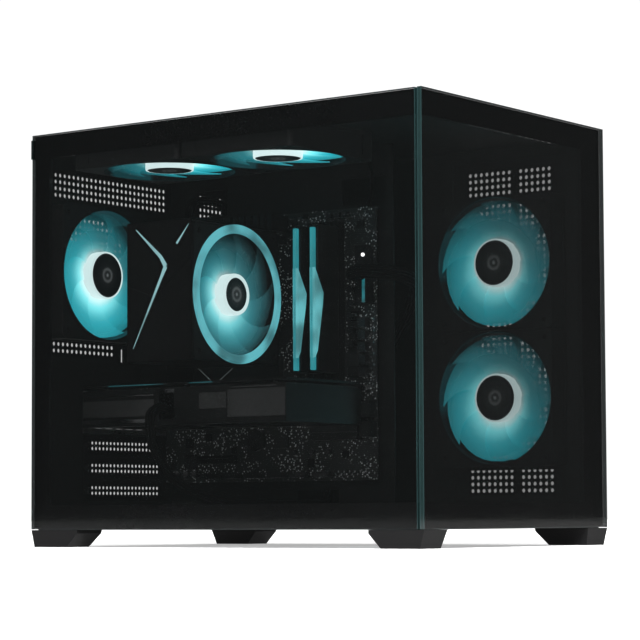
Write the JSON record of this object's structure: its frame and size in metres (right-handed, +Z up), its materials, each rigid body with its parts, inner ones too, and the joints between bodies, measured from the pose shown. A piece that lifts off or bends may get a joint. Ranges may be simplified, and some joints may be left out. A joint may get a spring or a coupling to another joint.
{
  "type": "desktop computer tower",
  "caption": "Two-chamber desktop computer tower with glass side and front, lit fans, tower cooler, memory, graphics card, motherboard and power supply inside.",
  "frame": {"origin": "on the floor under the middle of the tower's outline", "axes": "+Z up; the front glass faces -Y, the rear wall +Y; the side glass faces -X, the steel panel +X"},
  "size_m": [0.284, 0.426, 0.366],
  "materials": {
    "case_steel": "black powder coat",
    "frame_black": "gloss black",
    "pane_glass": "tinted tempered glass",
    "foot_plastic": "matte black",
    "trim_plastic": "fine grain black",
    "button_plastic": "gloss black",
    "screw_steel": "black zinc",
    "fan_frame": "matte black",
    "fan_blade": "lit translucent plastic",
    "black_blade": "matte black",
    "board_fibre": "black solder mask",
    "socket_plastic": "matte black",
    "part_metal": "mixed small parts",
    "dark_aluminium": "black anodised",
    "port_metal": "nickel plated",
    "cpu_metal": "nickel plated",
    "pipe_copper": "nickel plated copper",
    "fin_aluminium": "plain rolled",
    "cover_black": "satin black with light lines",
    "memory_shell": "silver with a light bar",
    "card_black": "satin dark grey",
    "bracket_steel": "plain steel",
    "cable_sleeve": "black sleeve",
    "drive_shell": "dark anodised"
  },
  "bodies": {
    "case": {"chassis_floor": "case_steel", "rear_wall": "case_steel", "top_frame": "case_steel", "motherboard_tray": "case_steel", "front_right_pillar": "case_steel", "side_fan_bracket": "case_steel", "slot_covers": "case_steel", "machine_screws": "screw_steel", "feet": "foot_plastic", "control_module": "trim_plastic", "rear_fan_frame": "fan_frame", "top_rear_fan_frame": "fan_frame", "top_front_fan_frame": "fan_frame", "side_upper_fan_frame": "fan_frame", "side_lower_fan_frame": "fan_frame", "cooler_fan_frame": "fan_frame", "motherboard": "board_fibre", "board_sockets": "socket_plastic", "board_components": "part_metal", "board_heatsinks": "dark_aluminium", "rear_ports": "port_metal", "port_cover": "trim_plastic", "processor": "cpu_metal", "cooler_heatpipes": "pipe_copper", "cooler_fins": "fin_aluminium", "cooler_cover": "cover_black", "memory_stick_1": "memory_shell", "memory_stick_2": "memory_shell", "card_board": "board_fibre", "card_heatsink": "fin_aluminium", "card_shroud": "card_black", "card_backplate": "dark_aluminium", "card_bracket": "bracket_steel", "power_supply_case": "case_steel", "power_inlet": "socket_plastic", "solid_state_drive": "drive_shell", "drive_bracket": "case_steel", "card_power_cable": "cable_sleeve", "main_power_cable": "cable_sleeve", "cpu_power_cable": "cable_sleeve", "fan_cables": "cable_sleeve"},
    "side_panel": {"side_glass": "pane_glass", "side_glass_frame": "frame_black"},
    "front_panel": {"front_glass": "pane_glass", "front_glass_frame": "frame_black"},
    "right_cover": {"right_panel": "case_steel", "thumbscrews": "screw_steel"},
    "top_cover": {"top_filter": "trim_plastic"},
    "power_key": {"power_button": "button_plastic"},
    "light_key": {"light_button": "button_plastic"},
    "rear_rotor": {"rear_fan_rotor": "fan_blade"},
    "top_rear_rotor": {"top_rear_fan_rotor": "fan_blade"},
    "top_front_rotor": {"top_front_fan_rotor": "fan_blade"},
    "side_upper_rotor": {"side_upper_fan_rotor": "fan_blade"},
    "side_lower_rotor": {"side_lower_fan_rotor": "fan_blade"},
    "cooler_rotor": {"cooler_fan_rotor": "fan_blade"},
    "card_rear_rotor": {"card_fan_rear": "black_blade"},
    "card_front_rotor": {"card_fan_front": "black_blade"},
    "supply_rotor": {"power_supply_fan": "black_blade"},
    "supply_switch": {"power_supply_switch": "button_plastic"}
  },
  "joints": [
    {"name": "side_panel_pull", "type": "slide", "parent": "case", "child": "side_panel", "axis": [-1, 0, 0], "range_m": [0, 0.15]},
    {"name": "front_panel_pull", "type": "slide", "parent": "case", "child": "front_panel", "axis": [0, -1, 0], "range_m": [0, 0.15]},
    {"name": "right_panel_slide", "type": "slide", "parent": "case", "child": "right_cover", "axis": [0, 1, 0], "range_m": [0, 0.03]},
    {"name": "top_filter_lift", "type": "slide", "parent": "case", "child": "top_cover", "axis": [0, 0, 1], "range_m": [0, 0.1]},
    {"name": "power_button_press", "type": "slide", "parent": "case", "child": "power_key", "axis": [0, 0, -1], "range_m": [0, 0.0015], "stiffness_N_per_m": 800, "springref_m": -0.0005},
    {"name": "light_button_press", "type": "slide", "parent": "case", "child": "light_key", "axis": [0, 0, -1], "range_m": [0, 0.0015], "stiffness_N_per_m": 800, "springref_m": -0.0005},
    {"name": "supply_switch_rock", "type": "hinge", "parent": "case", "child": "supply_switch", "pos_m": [0.11, 0.205, 0.056], "axis": [1, 0, 0], "range_deg": [0, 16]},
    {"name": "rear_fan_spin", "type": "hinge", "parent": "case", "child": "rear_rotor", "pos_m": [-0.07, 0.206, 0.245], "axis": [0, 1, 0], "continuous": true},
    {"name": "top_rear_fan_spin", "type": "hinge", "parent": "case", "child": "top_rear_rotor", "pos_m": [-0.07, 0.1085, 0.358], "axis": [0, 0, 1], "continuous": true},
    {"name": "top_front_fan_spin", "type": "hinge", "parent": "case", "child": "top_front_rotor", "pos_m": [-0.07, -0.0135, 0.358], "axis": [0, 0, 1], "continuous": true},
    {"name": "side_upper_fan_spin", "type": "hinge", "parent": "case", "child": "side_upper_rotor", "pos_m": [0.1295, -0.121, 0.2502], "axis": [1, 0, 0], "continuous": true},
    {"name": "side_lower_fan_spin", "type": "hinge", "parent": "case", "child": "side_lower_rotor", "pos_m": [0.1295, -0.121, 0.1296], "axis": [1, 0, 0], "continuous": true},
    {"name": "cooler_fan_spin", "type": "hinge", "parent": "case", "child": "cooler_rotor", "pos_m": [-0.048, 0.0737, 0.2216], "axis": [0, 1, 0], "continuous": true},
    {"name": "card_rear_fan_spin", "type": "hinge", "parent": "case", "child": "card_rear_rotor", "pos_m": [-0.025, 0.148, 0.126], "axis": [0, 0, 1], "continuous": true},
    {"name": "card_front_fan_spin", "type": "hinge", "parent": "case", "child": "card_front_rotor", "pos_m": [-0.025, 0.048, 0.126], "axis": [0, 0, 1], "continuous": true},
    {"name": "supply_fan_spin", "type": "hinge", "parent": "case", "child": "supply_rotor", "pos_m": [0.1375, 0.136, 0.097], "axis": [1, 0, 0], "continuous": true}
  ]
}
